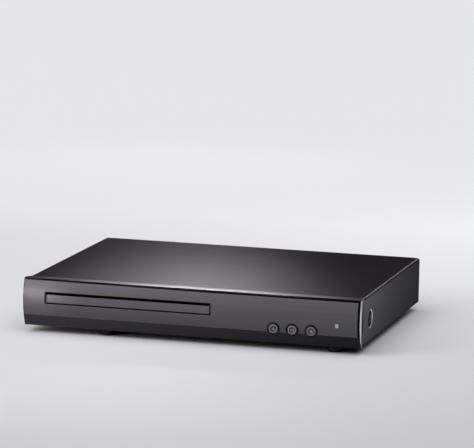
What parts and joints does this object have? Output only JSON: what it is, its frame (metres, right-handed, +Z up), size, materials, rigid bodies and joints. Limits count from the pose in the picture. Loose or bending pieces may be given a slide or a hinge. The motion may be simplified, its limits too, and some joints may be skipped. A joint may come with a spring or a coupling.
{
  "type": "disc player",
  "caption": "Slim front-loading disc player: crowned grey fascia on a black case, motor tray with gears, tilting pickup deck, round push buttons and rear sockets.",
  "frame": {"origin": "on the floor under the middle of the overall box, rear jacks included", "axes": "+X to the viewer's right, -Y out of the front, +Z up"},
  "size_m": [0.27, 0.2192, 0.043],
  "materials": {
    "satin_black_steel": "satin black powder coat",
    "black_chassis": "black coated steel sheet",
    "gloss_black": "glossy black moulding",
    "gunmetal": "brushed gunmetal finish",
    "key_black": "black keycap with a bright rim",
    "clear_window": "clear light guide",
    "foot_rubber": "black moulded rubber",
    "tray_black": "fine grained black plastic",
    "natural_acetal": "natural white acetal",
    "belt_rubber": "black belt rubber",
    "bare_steel": "bright steel",
    "motor_steel": "zinc plated motor can",
    "traverse_plastic": "glass-filled dark plastic",
    "turntable_black": "black turntable plastic",
    "lens_black": "black lens unit",
    "board_green": "green solder mask",
    "chip_black": "moulded package black",
    "can_sleeve": "dark printed-free capacitor sleeve",
    "ferrite": "dark grey ferrite",
    "tape_yellow": "yellow winding tape",
    "sink_aluminium": "plain extruded aluminium",
    "nickel": "nickel plate",
    "jack_orange": "orange insulator",
    "jack_yellow": "yellow insulator",
    "jack_white": "white insulator",
    "jack_red": "red insulator",
    "plug_white": "natural nylon and white ribbon",
    "wire_red": "red wire insulation",
    "screw_black": "black oxide screw"
  },
  "bodies": {
    "case": {"top_cover": "satin_black_steel", "bottom_chassis": "black_chassis", "rear_panel": "black_chassis", "front_panel": "gloss_black", "front_fascia": "gunmetal", "sensor_window": "clear_window", "foot_front_left": "foot_rubber", "foot_front_right": "foot_rubber", "foot_rear_left": "foot_rubber", "foot_rear_right": "foot_rubber", "loader_frame": "tray_black", "clamp_bridge": "tray_black", "drive_belt": "belt_rubber", "chassis_screws": "bare_steel", "loading_motor": "motor_steel", "front_board": "board_green", "main_board": "board_green", "power_board": "board_green", "tact_switches": "chip_black", "front_sensors": "chip_black", "main_chips": "chip_black", "jack_housing": "chip_black", "hdmi_tongue": "chip_black", "mains_inlet": "chip_black", "capacitors": "can_sleeve", "transformer_core": "ferrite", "transformer_winding": "tape_yellow", "heat_sink": "sink_aluminium", "jack_shells": "nickel", "hdmi_shell": "nickel", "inlet_pins": "nickel", "jack_insert_digital": "jack_orange", "jack_insert_video": "jack_yellow", "jack_insert_left": "jack_white", "jack_insert_right": "jack_red", "connectors": "plug_white", "ribbons": "plug_white", "power_wires": "wire_red", "cover_screws": "screw_black"},
    "tray": {"disc_tray": "tray_black", "tray_front": "gunmetal", "tray_rack": "tray_black"},
    "tray_wheel": {"tray_gear": "natural_acetal"},
    "pulley_wheel": {"pulley_gear": "natural_acetal"},
    "motor_shaft": {"motor_pulley": "bare_steel"},
    "cam_plate": {"cam_slider": "tray_black"},
    "traverse": {"traverse_frame": "traverse_plastic", "guide_rods": "bare_steel", "spindle_motor": "motor_steel", "sled_motor": "motor_steel"},
    "spindle": {"turntable": "turntable_black"},
    "sled": {"pickup_carriage": "traverse_plastic", "lens_unit": "lens_black"},
    "sled_wheel": {"sled_gear": "natural_acetal"},
    "sled_shaft": {"sled_pinion": "bare_steel"},
    "clamp_puck": {"clamper": "natural_acetal", "clamper_yoke": "bare_steel"},
    "open_key": {"open_button": "key_black"},
    "play_key": {"play_button": "key_black"},
    "stop_key": {"stop_button": "key_black"}
  },
  "joints": [
    {"name": "tray_slide", "type": "slide", "parent": "case", "child": "tray", "axis": [0, -1, 0], "range_m": [0, 0.13]},
    {"name": "tray_gear_turn", "type": "hinge", "parent": "case", "child": "tray_wheel", "pos_m": [-0.0989, -0.0879, 0.0185], "axis": [0, 0, 1], "range_deg": [0, 1330.13]},
    {"name": "pulley_turn", "type": "hinge", "parent": "case", "child": "pulley_wheel", "pos_m": [-0.0833, -0.0879, 0.0185], "axis": [0, 0, 1], "range_deg": [-4433.65, 0]},
    {"name": "motor_turn", "type": "hinge", "parent": "case", "child": "motor_shaft", "pos_m": [-0.022, -0.0879, 0.0213], "axis": [0, 0, 1], "range_deg": [-15335.95, 0]},
    {"name": "cam_slide", "type": "slide", "parent": "case", "child": "cam_plate", "axis": [1, 0, 0], "range_m": [0, 0.024]},
    {"name": "traverse_tilt", "type": "hinge", "parent": "case", "child": "traverse", "pos_m": [-0.05, 0.0456, 0.0197], "axis": [1, 0, 0], "range_deg": [0, 3.66]},
    {"name": "disc_spin", "type": "hinge", "parent": "traverse", "child": "spindle", "pos_m": [-0.05, -0.0384, 0.0293], "axis": [0, 0, 1], "continuous": true},
    {"name": "clamper_spin", "type": "hinge", "parent": "case", "child": "clamp_puck", "pos_m": [-0.05, -0.0384, 0.0327], "axis": [0, 0, 1], "continuous": true},
    {"name": "sled_slide", "type": "slide", "parent": "traverse", "child": "sled", "axis": [0, 1, 0], "range_m": [0, 0.033]},
    {"name": "sled_gear_turn", "type": "hinge", "parent": "traverse", "child": "sled_wheel", "pos_m": [-0.0155, 0.0066, 0.0233], "axis": [0, 0, 1], "range_deg": [-540.27, 0]},
    {"name": "sled_motor_turn", "type": "hinge", "parent": "traverse", "child": "sled_shaft", "pos_m": [-0.0155, -0.0054, 0.0233], "axis": [0, 0, 1], "range_deg": [0, 1620.7]},
    {"name": "open_press", "type": "slide", "parent": "case", "child": "open_key", "axis": [0, 1, 0], "range_m": [0, 0.0005], "stiffness_N_per_m": 400},
    {"name": "play_press", "type": "slide", "parent": "case", "child": "play_key", "axis": [0, 1, 0], "range_m": [0, 0.0005], "stiffness_N_per_m": 400},
    {"name": "stop_press", "type": "slide", "parent": "case", "child": "stop_key", "axis": [0, 1, 0], "range_m": [0, 0.0005], "stiffness_N_per_m": 400}
  ],
  "couplings": [
    {"joint": "tray_gear_turn", "follows": "tray_slide", "rad_per_m": 178.57},
    {"joint": "pulley_turn", "follows": "tray_slide", "rad_per_m": -595.24},
    {"joint": "motor_turn", "follows": "tray_slide", "rad_per_m": -2058.9},
    {"joint": "cam_slide", "follows": "tray_slide", "ratio": 0.18462},
    {"joint": "traverse_tilt", "follows": "tray_slide", "rad_per_m": 0.48432},
    {"joint": "clamper_spin", "follows": "disc_spin", "ratio": 1},
    {"joint": "sled_gear_turn", "follows": "sled_slide", "rad_per_m": -285.71},
    {"joint": "sled_motor_turn", "follows": "sled_slide", "rad_per_m": 857.14}
  ]
}
